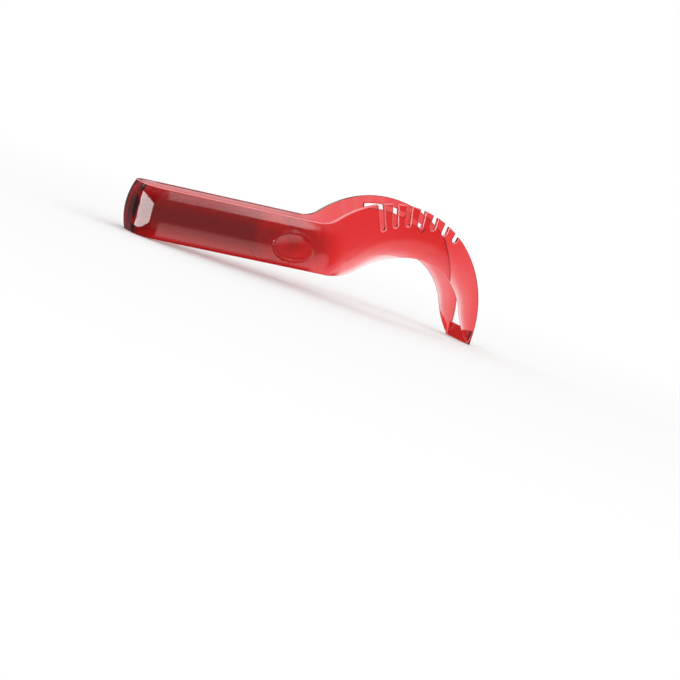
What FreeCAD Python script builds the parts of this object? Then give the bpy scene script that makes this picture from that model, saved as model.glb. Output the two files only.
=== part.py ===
"""Watermelon slicer: one springy plastic strip bent into two arms, with a cutting bar across the tips.

Lengths are millimetres. The sketches are drawn in the handle's own frame: X runs along the
handle from its rear, Z runs up the handle's side, and Y runs across, with the near arm at
negative Y. Each finished piece is then tipped so that the slicer stands on its rear foot and
on its two tips, with the middle of its footprint at the origin.
"""
import FreeCAD
import Part
import Sketcher
import math
import os

Vec = FreeCAD.Vector

SIZES = [
    # Cross section shared by the bow and the handle panels
    ("arm_spacing", 34.0),
    ("wall", 3.0),
    ("handle_height", 33.0),
    ("handle_bulge", 3.0),
    ("rim_round", 0.8),
    # Rear bow, seen from above
    ("bow_corner", 9.0),
    ("bow_reach", 20.0),
    ("foot_reach", 7.0),
    # Gap at each place where the strip bends
    ("seam_gap", 0.3),
    # Back edge of the arms: the valley in front of the handle, and the long hump
    ("valley_radius", 18.0),
    ("hump_centre", 186.0),
    ("hump_drop", 16.0),
    ("hump_radius", 72.5),
    ("tip_drop", 26.4),
    ("tip_land", 0.8),
    # Knife edge of the arms, under the hump
    ("sag_start", 139.8),
    ("sag_radius", 32.0),
    ("rise_angle", 37.8),
    ("arch_height", 22.8),
    ("arch_back_radius", 65.4),
    ("arch_front_centre", 202.8),
    ("arch_front_radius", 43.7),
    ("foot_drop", 6.0),
    ("foot_swell", 1.2),
    # Bevel that thins the wall towards the knife edge
    ("edge_wall", 0.5),
    ("bevel_width", 18.5),
    ("bevel_at_sag", 12.0),
    ("bevel_at_rise", 12.5),
    ("bevel_swell", -1.0),
    ("leg_spine", 4.0),
    ("spine_swell", -0.4),
    ("leg_angle", 44.0),
    # Comb of slots in the near arm
    ("comb_first", 107.3),
    ("comb_pitch", 8.5),
    ("comb_width", 3.8),
    ("comb_depth", 18.2),
    ("comb_depth_step", 2.1),
    ("comb_lean", 21.4),
    ("comb_lean_step", 6.2),
    # Long windows in the far arm
    ("window_centre", 184.0),
    ("window_radius", 67.0),
    ("window_width", 3.5),
    ("window_round", 1.2),
    ("window_long_from", 103.5),
    ("window_long_to", 75.0),
    ("window_short_from", 70.4),
    ("window_short_to", 59.0),
    # Oval thumb rests
    ("rest_centre", 109.0),
    ("rest_height", 14.1),
    ("rest_length", 30.2),
    ("rest_width", 20.1),
    ("rest_seat", 0.4),
    ("rest_play", 0.1),
    ("rest_proud", 0.3),
    ("rest_margin", 2.0),
    ("rest_rim", 1.3),
    ("rest_dish", 1.6),
    # Cutting bar between the tips
    ("bar_height", 9.4),
    ("bar_back", 0.2),
    ("bar_top", 2.0),
    ("bar_edge", 0.5),
    ("bar_swell", 0.1),
    ("cut_reach", 260.0),
]
SLOT_COUNT = 7
NEAR = -1
FAR = 1

doc = FreeCAD.newDocument("slicer")
sheet = doc.addObject("Spreadsheet::Sheet", "Sizes")
for row, (alias, value) in enumerate(SIZES, start=1):
    sheet.set("A%d" % row, alias)
    sheet.set("B%d" % row, str(value))
    sheet.setAlias("B%d" % row, alias)
doc.recompute()
size = {alias: float(sheet.get(alias)) for alias, _ in SIZES}


def cell(formula):
    """Turn a formula of size names into one that reads the sheet."""
    words = formula.split(" ")
    return " ".join("Sizes." + word if word in size else word for word in words)


# Values that follow from the sheet
inner_face = size["arm_spacing"] / 2 - size["wall"]
outer_face = size["arm_spacing"] / 2
crown_face = outer_face + size["handle_bulge"]
half_gap = size["seam_gap"] / 2
handle_top = size["handle_height"]
handle_middle = handle_top / 2
hump = Vec(size["hump_centre"], -size["hump_drop"], 0)
rise = math.radians(size["rise_angle"])
valley_reach = size["hump_radius"] + size["valley_radius"]
valley_height = handle_top + size["valley_radius"] + size["hump_drop"]
shoulder = hump.x - math.sqrt(valley_reach ** 2 - valley_height ** 2)
valley = Vec(shoulder, handle_top + size["valley_radius"], 0)
bulge_radius = (handle_middle ** 2 + size["handle_bulge"] ** 2) / (2 * size["handle_bulge"])
tip_rise = size["tip_drop"] - size["hump_drop"]
tip = Vec(hump.x + math.sqrt(size["hump_radius"] ** 2 - tip_rise ** 2), -size["tip_drop"], 0)
rest_pitch = math.atan2(size["tip_drop"], tip.x - size["foot_reach"])


def angle_of(point, centre):
    """Angle in degrees at which a point lies from a centre."""
    return math.degrees(math.atan2(point.y - centre.y, point.x - centre.x))


def polar(centre, radius, angle):
    """Point at a radius and an angle in degrees from a centre."""
    turn = math.radians(angle)
    return Vec(centre.x + radius * math.cos(turn), centre.y + radius * math.sin(turn), 0)


def on_floor(x):
    """Point, in the handle's frame, of the surface that the slicer stands on."""
    return Vec(x, -(x - size["foot_reach"]) * math.tan(rest_pitch), 0)


def on_hump(angle, depth=0.0):
    """Point a depth in from the arms' back edge, at an angle from the hump's centre."""
    return polar(hump, size["hump_radius"] - depth, angle)


def rest_placement():
    """Tip the handle's frame onto the floor, with the footprint's middle at the origin."""
    turn = FreeCAD.Rotation(Vec(0, 1, 0), -math.degrees(rest_pitch))
    rear = turn.multVec(Vec(bulge_radius, 0, handle_middle)).x - bulge_radius
    front = turn.multVec(Vec(hump.x, 0, hump.y)).x + size["hump_radius"]
    floor = turn.multVec(Vec(size["foot_reach"], 0, 0)).z
    return FreeCAD.Placement(Vec(-(rear + front) / 2, 0, -floor), turn)


def line(start, end):
    """Straight edge."""
    return Part.LineSegment(start, end)


def swell(start, end, sag):
    """Round edge whose middle stands a sag to the right of the way from start to end."""
    along = end - start
    side = Vec(along.y, -along.x, 0)
    side.normalize()
    return Part.Arc(start, (start + end) * 0.5 + side * sag, end)


def around(centre, radius, start, end):
    """Round edge about a centre, between two angles in degrees."""
    return Part.Arc(polar(centre, radius, start), polar(centre, radius, (start + end) / 2),
                    polar(centre, radius, end))


def rectangle(low, high):
    """Outline of an upright rectangle."""
    corners = [low, Vec(high.x, low.y, 0), high, Vec(low.x, high.y, 0)]
    return [line(corners[n], corners[(n + 1) % 4]) for n in range(4)]


def new_body(label):
    """Empty body that carries one piece."""
    body = doc.addObject("PartDesign::Body", label)
    body.Label = label
    return body


def new_sketch(body, name, role, offset, height=0.0):
    """Sketch on one of the body's origin planes, moved along its normal and up in it."""
    sketch = body.newObject("Sketcher::SketchObject", name)
    plane = [item for item in body.Origin.OriginFeatures if item.Role == role][0]
    sketch.AttachmentSupport = [(plane, "")]
    sketch.MapMode = "FlatFace"
    if isinstance(offset, str):
        sketch.setExpression(".AttachmentOffset.Base.z", cell(offset))
    else:
        sketch.AttachmentOffset = FreeCAD.Placement(Vec(0, height, offset), FreeCAD.Rotation())
    return sketch


def draw(sketch, outline):
    """Add edges that meet end to end, join them, and return their numbers."""
    numbers = [sketch.addGeometry(edge, False) for edge in outline]
    for number, following in zip(numbers, numbers[1:] + numbers[:1]):
        for end in (1, 2):
            for start in (1, 2):
                gap = sketch.getPoint(number, end) - sketch.getPoint(following, start)
                if number != following and gap.Length < 1e-6:
                    sketch.addConstraint(
                        Sketcher.Constraint("Coincident", number, end, following, start))
    return numbers


def bind_radius(sketch, number, formula):
    """Dimension a round edge and bind it to the sheet."""
    radius = sketch.Geometry[number].Radius
    place = sketch.addConstraint(Sketcher.Constraint("Radius", number, radius))
    sketch.setExpression("Constraints[%d]" % place, cell(formula))


def bind_reach(sketch, number, formula):
    """Dimension the way across from the sketch's origin to a round edge's centre."""
    reach = sketch.Geometry[number].Center.x
    place = sketch.addConstraint(Sketcher.Constraint("DistanceX", -1, 1, number, 3, reach))
    sketch.setExpression("Constraints[%d]" % place, cell(formula))


def pad(body, name, sketch, formula, turned=False):
    """Pad a sketch along its normal, or the other way when turned."""
    feature = body.newObject("PartDesign::Pad", name)
    feature.Profile = sketch
    feature.setExpression("Length", cell(formula))
    feature.Reversed = turned
    return feature


def cut_through(body, name, outlines):
    """Cut closed outlines through the whole width of a body, and return their sketch."""
    sketch = new_sketch(body, name + "_outline", "XZ_Plane", 0.0)
    numbers = [draw(sketch, outline) for outline in outlines]
    pocket = body.newObject("PartDesign::Pocket", name)
    pocket.Profile = sketch
    pocket.SideType = "Symmetric"
    pocket.Type = "ThroughAll"
    return sketch, numbers


def panel_section(side):
    """Section of the handle wall: flat inside, bulged outside, with rounded rims."""
    rim = size["rim_round"]
    inside = side * inner_face
    outside = side * outer_face
    step = side * rim
    corner = rim * (1 - math.sqrt(0.5))
    lean = side * corner
    high = handle_top - rim
    return [
        line(Vec(inside, rim, 0), Vec(inside, high, 0)),
        Part.Arc(Vec(inside, high, 0), Vec(inside + lean, handle_top - corner, 0),
                 Vec(inside + step, handle_top, 0)),
        line(Vec(inside + step, handle_top, 0), Vec(outside - step, handle_top, 0)),
        Part.Arc(Vec(outside - step, handle_top, 0),
                 Vec(outside - lean, handle_top - corner, 0), Vec(outside, high, 0)),
        Part.Arc(Vec(outside, high, 0), Vec(side * crown_face, handle_middle, 0),
                 Vec(outside, rim, 0)),
        Part.Arc(Vec(outside, rim, 0), Vec(outside - lean, corner, 0),
                 Vec(outside - step, 0, 0)),
        line(Vec(outside - step, 0, 0), Vec(inside + step, 0, 0)),
        Part.Arc(Vec(inside + step, 0, 0), Vec(inside + lean, corner, 0), Vec(inside, rim, 0)),
    ]


def knife_edge():
    """Lower edge of an arm, from the shoulder to the tip, where the plastic is thinnest."""
    sag = Vec(size["sag_start"], size["sag_radius"], 0)
    sag_end = polar(sag, size["sag_radius"], size["rise_angle"] - 90)
    back_floor = size["arch_height"] - size["arch_back_radius"]
    climb_height = back_floor + size["arch_back_radius"] * math.cos(rise)
    climb_end = Vec(sag_end.x + (climb_height - sag_end.y) / math.tan(rise), climb_height, 0)
    back = Vec(climb_end.x + size["arch_back_radius"] * math.sin(rise), back_floor, 0)
    front = Vec(size["arch_front_centre"], size["arch_height"] - size["arch_front_radius"], 0)
    foot_turn = math.asin((-size["foot_drop"] - front.y) / size["arch_front_radius"])
    front_edge = around(front, size["arch_front_radius"], 90, math.degrees(foot_turn))
    land = on_floor(tip.x - size["tip_land"])
    return [
        line(Vec(shoulder + half_gap, 0, 0), Vec(sag.x, 0, 0)),
        around(sag, size["sag_radius"], -90, size["rise_angle"] - 90),
        line(sag_end, climb_end),
        around(back, size["arch_back_radius"], 90 + size["rise_angle"], 90),
        line(Vec(back.x, size["arch_height"], 0), front_edge.StartPoint),
        front_edge,
        swell(front_edge.EndPoint, land, size["foot_swell"]),
        line(land, tip),
    ]


def crest_arc(level, far):
    """Round edge that leaves a level crest and reaches a far point below it."""
    drop = level.y - far.y
    reach = far.x - level.x
    radius = (reach ** 2 + drop ** 2) / (2 * drop)
    centre = Vec(level.x, level.y - radius, 0)
    return around(centre, radius, 90, angle_of(far, centre))


def bevel_line(edge):
    """Line on an arm's outer face where the bevel towards the knife edge begins."""
    crest = size["arch_height"] + size["bevel_width"]
    normal = Vec(-math.sin(rise), math.cos(rise), 0)
    low = edge[2].StartPoint + normal * size["bevel_at_sag"]
    high = edge[2].EndPoint + normal * size["bevel_at_rise"]
    back = Vec(edge[4].StartPoint.x, crest, 0)
    front = Vec(edge[4].EndPoint.x, crest, 0)
    foot_turn = math.degrees(math.asin((size["hump_drop"] - size["foot_drop"])
                                       / (size["hump_radius"] - size["leg_spine"])))
    spine = on_hump(foot_turn, size["leg_spine"])
    end = on_floor(tip.x - size["tip_land"] / 2)
    return [
        line(edge[0].StartPoint, edge[0].EndPoint),
        swell(edge[0].EndPoint, low, size["bevel_swell"]),
        line(low, high),
        crest_arc(back, high),
        line(back, front),
        crest_arc(front, spine),
        swell(spine, end, size["spine_swell"]),
        line(end, tip),
    ]


def back_edge():
    """Upper edge of an arm, from the tip over the hump to the shoulder, and the seam there."""
    meet = angle_of(valley, hump)
    seam_turn = math.degrees(math.asin(half_gap / size["valley_radius"])) - 90
    dip = around(valley, size["valley_radius"], meet - 180, seam_turn)
    seam = Vec(shoulder + half_gap, dip.EndPoint.y, 0)
    return [
        around(hump, size["hump_radius"], angle_of(tip, hump), meet),
        dip,
        line(seam, Vec(seam.x, 0, 0)),
    ]


def arm_sketch(body, name, lower, offset):
    """Sketch of a whole arm at one level of its thickness."""
    sketch = new_sketch(body, name, "XZ_Plane", offset)
    numbers = draw(sketch, lower + back_edge())
    over = numbers[len(lower)]
    bind_radius(sketch, over, "hump_radius")
    bind_reach(sketch, over, "hump_centre")
    bind_radius(sketch, over + 1, "valley_radius")
    return sketch


def slot_outline(number):
    """Outline of one comb slot: open at the back edge, with a round floor."""
    lean = math.radians(size["comb_lean"] - size["comb_lean_step"] * number)
    depth = size["comb_depth"] - size["comb_depth_step"] * number
    half = size["comb_width"] / 2
    inward = Vec(math.sin(lean), -math.cos(lean), 0)
    across = Vec(math.cos(lean), math.sin(lean), 0) * half
    mouth = on_hump(size["comb_first"] - size["comb_pitch"] * number)
    top = mouth - inward * size["comb_width"]
    shelf = mouth + inward * (depth - half)
    return [
        line(top - across, shelf - across),
        Part.Arc(shelf - across, mouth + inward * depth, shelf + across),
        line(shelf + across, top + across),
        line(top + across, top - across),
    ]


def window_outline(first, last):
    """Outline of one long window that runs along under the back edge, with round corners."""
    centre = Vec(size["window_centre"], hump.y, 0)
    outer = size["window_radius"]
    inner = outer - size["window_width"]
    corner = size["window_round"]
    high = outer - corner
    low = inner + corner
    high_turn = math.degrees(math.asin(corner / high))
    low_turn = math.degrees(math.asin(corner / low))
    corners = [
        (high, last + high_turn, last + high_turn, last - 90),
        (low, last + low_turn, last - 90, last + low_turn - 180),
        (low, first - low_turn, first - low_turn - 180, first - 270),
        (high, first - high_turn, first + 90, first - high_turn),
    ]
    rounds = [around(polar(centre, reach, angle), corner, start, end)
              for reach, angle, start, end in corners]
    return [
        around(centre, outer, first - high_turn, last + high_turn),
        rounds[0],
        line(rounds[0].EndPoint, rounds[1].StartPoint),
        rounds[1],
        around(centre, inner, last + low_turn, first - low_turn),
        rounds[2],
        line(rounds[2].EndPoint, rounds[3].StartPoint),
        rounds[3],
    ]


def side_of_split(forward):
    """Large outline on one side of the line where an arch hands over to its leg."""
    angle = size["leg_angle"]
    outer = on_hump(angle, -size["hump_radius"])
    inner = on_hump(angle, size["hump_radius"] * 2)
    way = polar(Vec(0, 0, 0), size["cut_reach"], angle - 90 if forward else angle + 90)
    return [line(inner, outer), line(outer, outer + way), line(outer + way, inner + way),
            line(inner + way, inner)]


def arm_blank(label, side):
    """Whole arm in front of the handle: full wall at its back, thin at its knife edge."""
    body = new_body(label)
    levels = ["arm_spacing / 2 - wall", "arm_spacing / 2 - wall + edge_wall", "arm_spacing / 2"]
    if side == FAR:
        levels = ["0 - ( " + level + " )" for level in levels]
    edge = knife_edge()
    skin = arm_sketch(body, label + "_skin_outline", edge, levels[0])
    pad(body, label + "_skin", skin, "edge_wall", turned=side == FAR)
    low = arm_sketch(body, label + "_low_outline", edge, levels[1])
    top = arm_sketch(body, label + "_top_outline", bevel_line(edge), levels[2])
    bevel = body.newObject("PartDesign::AdditiveLoft", label + "_bevel")
    bevel.Profile = low
    bevel.Sections = [top]
    bevel.Ruled = True
    return body


def add_dome(body, label, side):
    """Round off the handle's bulge with half of a shallow dome in front of the seam."""
    sketch = new_sketch(body, label + "_dome_outline", "YZ_Plane", shoulder + half_gap,
                        handle_middle)
    foot = Vec(side * (outer_face - size["wall"] / 2), 0, 0)
    crown = Vec(side * crown_face, 0, 0)
    rim = Vec(side * outer_face, handle_middle, 0)
    centre = Vec(side * (crown_face - bulge_radius), 0, 0)
    middle_turn = math.asin(handle_middle / bulge_radius) / 2
    between = Vec(centre.x + side * bulge_radius * math.cos(middle_turn),
                  bulge_radius * math.sin(middle_turn), 0)
    numbers = draw(sketch, [
        line(foot, crown),
        Part.Arc(crown, between, rim),
        line(rim, Vec(foot.x, rim.y, 0)),
        line(Vec(foot.x, rim.y, 0), foot),
    ])
    bind_radius(sketch, numbers[1],
                "( ( handle_height / 2 ) ^ 2 + handle_bulge ^ 2 ) / ( 2 * handle_bulge )")
    dome = body.newObject("PartDesign::Revolution", label + "_dome")
    dome.Profile = sketch
    dome.ReferenceAxis = (sketch, ["H_Axis"])
    dome.Angle = 180
    return body


def near_arch():
    """Near arm's arch, with a comb of slots open at its back edge."""
    body = add_dome(arm_blank("near_arch", NEAR), "near_arch", NEAR)
    slots = [slot_outline(number) for number in range(SLOT_COUNT)]
    sketch, numbers = cut_through(body, "near_comb", slots)
    for slot in numbers:
        bind_radius(sketch, slot[1], "comb_width / 2")
    cut_through(body, "near_arch_end", [side_of_split(True)])
    return body


def far_arch():
    """Far arm's arch, with two long windows under a closed rim."""
    body = add_dome(arm_blank("far_arch", FAR), "far_arch", FAR)
    sketch, numbers = cut_through(body, "far_windows", [
        window_outline(size["window_long_from"], size["window_long_to"]),
        window_outline(size["window_short_from"], size["window_short_to"]),
    ])
    for window in numbers:
        bind_radius(sketch, window[0], "window_radius")
        bind_radius(sketch, window[4], "window_radius - window_width")
    cut_through(body, "far_arch_end", [side_of_split(True)])
    return body


def leg(label, side):
    """Knife leg of one arm: it narrows from the arch down to the tip."""
    body = arm_blank(label, side)
    cut_through(body, label + "_end", [side_of_split(False)])
    return body


def rear_bow():
    """Bend at the rear that joins the two handle panels and springs them apart."""
    body = new_body("rear_bow")
    section = new_sketch(body, "bow_section", "YZ_Plane", "bow_reach - seam_gap / 2")
    draw(section, panel_section(NEAR))
    path = new_sketch(body, "bow_path", "XY_Plane", 0.0)
    start = Vec(size["bow_reach"] - half_gap, -inner_face, 0)
    back = size["handle_bulge"] + size["wall"]
    corner = Vec(back + size["bow_corner"], -inner_face + size["bow_corner"], 0)
    near_turn = around(corner, size["bow_corner"], -90, -180)
    far_turn = around(Vec(corner.x, -corner.y, 0), size["bow_corner"], 180, 90)
    legs = [
        line(start, near_turn.StartPoint),
        near_turn,
        line(near_turn.EndPoint, far_turn.StartPoint),
        far_turn,
        line(far_turn.EndPoint, Vec(start.x, -start.y, 0)),
    ]
    numbers = draw(path, legs)
    bind_radius(path, numbers[1], "bow_corner")
    bind_radius(path, numbers[3], "bow_corner")
    bend = body.newObject("PartDesign::AdditivePipe", "bow_bend")
    bend.Profile = section
    bend.Spine = path
    foot = size["foot_reach"]
    deep = Vec(-foot, -foot, 0)
    cut_through(body, "bow_foot", [[
        line(deep, Vec(foot * 2, -foot, 0)),
        line(Vec(foot * 2, -foot, 0), on_floor(foot * 2)),
        line(on_floor(foot * 2), on_floor(-foot)),
        line(on_floor(-foot), deep),
    ]])
    return body


def oval(grow):
    """Outline of a thumb rest, grown all round."""
    centre = Vec(size["rest_centre"], size["rest_height"], 0)
    half_length = size["rest_length"] / 2 + grow
    half_width = size["rest_width"] / 2 + grow
    return Part.Ellipse(Vec(centre.x + half_length, centre.y, 0),
                        Vec(centre.x, centre.y + half_width, 0), centre)


def handle_panel(label, side):
    """Straight handle wall, with the seat of its thumb rest sunk in the bulge."""
    body = new_body(label)
    section = new_sketch(body, label + "_section", "YZ_Plane", "bow_reach + seam_gap / 2")
    numbers = draw(section, panel_section(side))
    bind_radius(section, numbers[4], "( ( handle_height / 2 - rim_round ) ^ 2 + handle_bulge ^ 2 )"
                " / ( 2 * handle_bulge )")
    wall = body.newObject("PartDesign::Pad", label + "_wall")
    wall.Profile = section
    wall.Length = shoulder - size["bow_reach"] - size["seam_gap"]
    level = "arm_spacing / 2 + rest_seat"
    if side == FAR:
        level = "0 - ( " + level + " )"
    seat = new_sketch(body, label + "_seat_outline", "XZ_Plane", level)
    seat.addGeometry(oval(size["rest_play"]), False)
    pocket = body.newObject("PartDesign::Pocket", label + "_seat")
    pocket.Profile = seat
    pocket.setExpression("Length", cell("handle_bulge * 2"))
    pocket.Reversed = side == NEAR
    return body


def thumb_rest(label, side):
    """Oval inlay with a raised rim and a shallow dish for the thumb or a finger."""
    body = new_body(label)
    section = new_sketch(body, label + "_section", "YZ_Plane",
                         "rest_centre - rest_length / 2 - rest_margin")
    seat = side * (outer_face + size["rest_seat"])
    reach = size["rest_width"] / 2 + size["rest_margin"]
    radius = bulge_radius + size["rest_proud"]
    centre = Vec(side * (crown_face - bulge_radius), handle_middle, 0)

    def skin(height):
        """Point of the inlay's outer face at a height."""
        depth = math.sqrt(radius ** 2 - (height - centre.y) ** 2)
        return Vec(centre.x + side * depth, height, 0)

    low = size["rest_height"] - reach
    high = size["rest_height"] + reach
    draw(section, [
        line(Vec(seat, low, 0), Vec(seat, high, 0)),
        line(Vec(seat, high, 0), skin(high)),
        Part.Arc(skin(high), skin(handle_middle), skin(low)),
        line(skin(low), Vec(seat, low, 0)),
    ])
    pad(body, label + "_blank", section, "rest_length + rest_margin * 2")
    rim = new_sketch(body, label + "_rim_outline", "XZ_Plane", 0.0)
    margin = Vec(size["rest_length"], size["rest_width"], 0)
    middle = Vec(size["rest_centre"], size["rest_height"], 0)
    draw(rim, rectangle(middle - margin, middle + margin))
    rim.addGeometry(oval(0.0), False)
    trim = body.newObject("PartDesign::Pocket", label + "_rim")
    trim.Profile = rim
    trim.SideType = "Symmetric"
    trim.Type = "ThroughAll"
    dish = body.newObject("PartDesign::SubtractiveEllipsoid", label + "_dish")
    dish.setExpression("Radius1", cell("rest_dish"))
    dish.setExpression("Radius2", cell("rest_length / 2 - rest_rim"))
    dish.setExpression("Radius3", cell("rest_width / 2 - rest_rim"))
    across = FreeCAD.Rotation(Vec(1, 0, 0), 90)
    dish.AttachmentOffset = FreeCAD.Placement(Vec(middle.x, side * crown_face, middle.y), across)
    dish.Placement = dish.AttachmentOffset
    return body


def cutter_bar():
    """Bar across the tips: square at its top, sharp at the foot where it enters the fruit."""
    body = new_body("cutter_bar")
    section = new_sketch(body, "bar_section", "XZ_Plane",
                         "0 - ( arm_spacing / 2 - wall - seam_gap )")
    top_turn = math.degrees(math.asin((tip_rise - size["bar_height"]) / size["hump_radius"]))
    back_top = on_hump(-top_turn, size["bar_back"])
    back_foot = on_floor(tip.x - size["bar_back"])
    back = swell(back_foot, back_top, size["bar_swell"])
    front_foot = on_floor(back_foot.x - size["bar_edge"])
    front_top = back_top - Vec(size["bar_top"], 0, 0)
    draw(section, [
        back,
        line(back_top, front_top),
        line(front_top, front_foot),
        line(front_foot, back_foot),
    ])
    pad(body, "bar_blade", section, "arm_spacing - 2 * wall - 2 * seam_gap")
    return body


pieces = [
    rear_bow(),
    handle_panel("near_handle_panel", NEAR),
    handle_panel("far_handle_panel", FAR),
    thumb_rest("near_thumb_rest", NEAR),
    thumb_rest("far_thumb_rest", FAR),
    near_arch(),
    far_arch(),
    leg("near_leg", NEAR),
    leg("far_leg", FAR),
    cutter_bar(),
]
doc.recompute()
standing = rest_placement()
for piece in pieces:
    piece.Placement = standing
doc.recompute()

for item in doc.Objects:
    if "Invalid" in item.State or "Error" in item.State:
        raise RuntimeError("failed: %s %s" % (item.Name, item.State))
for piece in pieces:
    shape = piece.Shape
    if shape.isNull() or not shape.isValid() or len(shape.Solids) != 1:
        raise RuntimeError("bad shape: %s" % piece.Label)

os.makedirs("parts", exist_ok=True)
for piece in pieces:
    piece.Shape.exportStep("parts/%s.step" % piece.Label)
    box = piece.Shape.optimalBoundingBox(False)
    print("%-18s volume %8.1f  x %7.2f %7.2f  y %6.2f %6.2f  z %6.2f %6.2f"
          % (piece.Label, piece.Shape.Volume, box.XMin, box.XMax, box.YMin, box.YMax,
             box.ZMin, box.ZMax))
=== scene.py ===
"""Looks of a watermelon slicer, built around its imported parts.

The slicer is one strip of clear red plastic. A bow at its rear springs two handle walls apart,
each wall runs on into an arched arm with a knife edge, and a cutting bar joins the arms' tips.
The shapes are drawn in the handle's own frame, where X runs along the handle from its rear and
Z runs up its side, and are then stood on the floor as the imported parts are.
"""

import logging
import math
from dataclasses import dataclass, field
from enum import Enum
from itertools import cycle
from typing import Callable

import bpy
import numpy as np
from mathutils import Matrix, Vector, geometry

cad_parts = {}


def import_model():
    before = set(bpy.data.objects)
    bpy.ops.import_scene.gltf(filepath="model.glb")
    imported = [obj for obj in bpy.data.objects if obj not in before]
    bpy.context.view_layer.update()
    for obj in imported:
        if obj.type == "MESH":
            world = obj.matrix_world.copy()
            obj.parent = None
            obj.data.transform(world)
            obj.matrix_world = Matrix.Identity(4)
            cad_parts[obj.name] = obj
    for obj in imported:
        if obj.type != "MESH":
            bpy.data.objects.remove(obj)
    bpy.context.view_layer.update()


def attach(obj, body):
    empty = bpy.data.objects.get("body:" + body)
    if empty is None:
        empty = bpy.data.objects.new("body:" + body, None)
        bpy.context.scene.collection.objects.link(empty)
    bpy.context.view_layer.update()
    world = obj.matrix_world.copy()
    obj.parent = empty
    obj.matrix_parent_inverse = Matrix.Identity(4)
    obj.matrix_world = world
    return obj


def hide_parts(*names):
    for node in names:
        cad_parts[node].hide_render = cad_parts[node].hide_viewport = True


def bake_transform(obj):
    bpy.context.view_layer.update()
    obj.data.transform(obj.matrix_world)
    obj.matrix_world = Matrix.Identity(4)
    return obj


MM = 0.001
LOG = logging.getLogger("slicer")
SAME_SPOT = 0.01 * MM  # Points nearer than this are one point.
SAME_CORNER = 1e-5  # The same in millimetres, where a face is filled.
NO_AREA = 1e-12  # Faces whose cross product is smaller, in square metres, are left out.
ROW_RISE = 0.866  # How far apart the rows of an even pattern of triangles are, in steps.

Points = np.ndarray
Height = Callable[[Points], Points]
Pair = tuple[float, float]
Piece = bpy.types.Object
Material = bpy.types.Material
Tree = bpy.types.NodeTree
Node = bpy.types.Node
Socket = bpy.types.NodeSocket
Value = Socket | float | tuple[float, ...] | None


class Side(Enum):
    """The two sides of the slicer: the near one is at negative Y."""

    NEAR = -1
    FAR = 1


class Slot(Enum):
    """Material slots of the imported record."""

    GRIP = "grip"
    ARM = "arm"
    BAR = "bar"


class Kind(Enum):
    """What a face is made of, as the number of its material on the piece."""

    BODY = 0
    # These faces take the lighter rim finish, a painted highlight.
    RIM = 1


# Plane geometry


def columns(*parts: Points | float) -> Points:
    """Return values side by side, as the columns of one array."""
    return np.stack(np.broadcast_arrays(*parts), 1)


def unit(ways: Points) -> Points:
    """Return directions, one in each row, at a length of 1."""
    return ways / np.linalg.norm(ways, axis=1)[:, None]


def polar(centre: Points, radius: float, angle: float) -> Points:
    """Return the point at a radius and an angle in degrees from a centre."""
    turn = math.radians(angle)
    return np.asarray(centre) + radius * np.array([math.cos(turn), math.sin(turn)])


def angle_of(point: Points, centre: Points) -> float:
    """Return the angle in degrees at which a point lies from a centre."""
    return math.degrees(math.atan2(point[1] - centre[1], point[0] - centre[0]))


def arc(centre: Points, radius: float, start: float, end: float, step: float) -> Points:
    """Sample a round edge.

    Args:
        centre: Centre of the circle.
        radius: Its radius.
        start: First angle in degrees.
        end: Last angle in degrees.
        step: Length between samples.

    Returns:
        The samples, from first to last.
    """
    count = max(3, int(abs(math.radians(end - start)) * radius / step) + 1)
    turns = np.radians(np.linspace(start, end, count + 1))
    return np.asarray(centre) + radius * columns(np.cos(turns), np.sin(turns))


def straight(start: Points, end: Points, step: float) -> Points:
    """Sample a straight edge, both ends included."""
    start, end = np.asarray(start, float), np.asarray(end, float)
    count = max(1, int(np.linalg.norm(end - start) / step))
    return start + (end - start) * np.linspace(0, 1, count + 1)[:, None]


def swell(start: Points, end: Points, sag: float, step: float) -> Points:
    """Sample a shallow round edge whose middle stands a sag to the right of its chord."""
    start, end = np.asarray(start, float), np.asarray(end, float)
    along = end - start
    side = np.array([along[1], -along[0]]) / np.linalg.norm(along)
    chord = straight(start, end, step)
    share = np.linspace(0, 1, len(chord))[:, None]
    return chord + side * sag * 4 * share * (1 - share)


def join(*runs: Points) -> Points:
    """Join runs of points end to end, each shared point kept once."""
    line = np.concatenate(runs)
    return line[np.r_[True, np.linalg.norm(np.diff(line, axis=0), axis=1) > SAME_SPOT]]


def smooth(low: float, high: float, value: Points) -> Points:
    """Return a share that goes smoothly from 0 at low to 1 at high."""
    share = np.clip((np.asarray(value) - low) / (high - low), 0, 1)
    return share * share * (3 - 2 * share)


def stretch(reach: tuple[float, ...], value: Points) -> Points:
    """Return a share that rises from the first to the second value and falls at the last two."""
    start, full, waning, end = reach
    return smooth(start, full, value) * smooth(end, waning, value)


def distance(points: Points, line: Points) -> Points:
    """Return each point's distance from a polyline."""
    best = np.full(len(points), np.inf)
    for origin, way in zip(line[:-1], np.diff(line, axis=0)):
        share = np.clip(((points - origin) @ way) / (way @ way), 0, 1)
        gap = points - origin - share[:, None] * way
        best = np.minimum(best, np.hypot(gap[:, 0], gap[:, 1]))
    return best


def inside(points: Points, loop: Points) -> Points:
    """Return which points are inside a closed loop."""
    result = np.zeros(len(points), bool)
    for (x0, z0), (x1, z1) in zip(loop, np.roll(loop, -1, axis=0)):
        if z0 != z1:
            crosses = (z0 > points[:, 1]) != (z1 > points[:, 1])
            reach = x0 + (x1 - x0) * (points[:, 1] - z0) / (z1 - z0)
            result ^= crosses & (points[:, 0] < reach)
    return result


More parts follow.
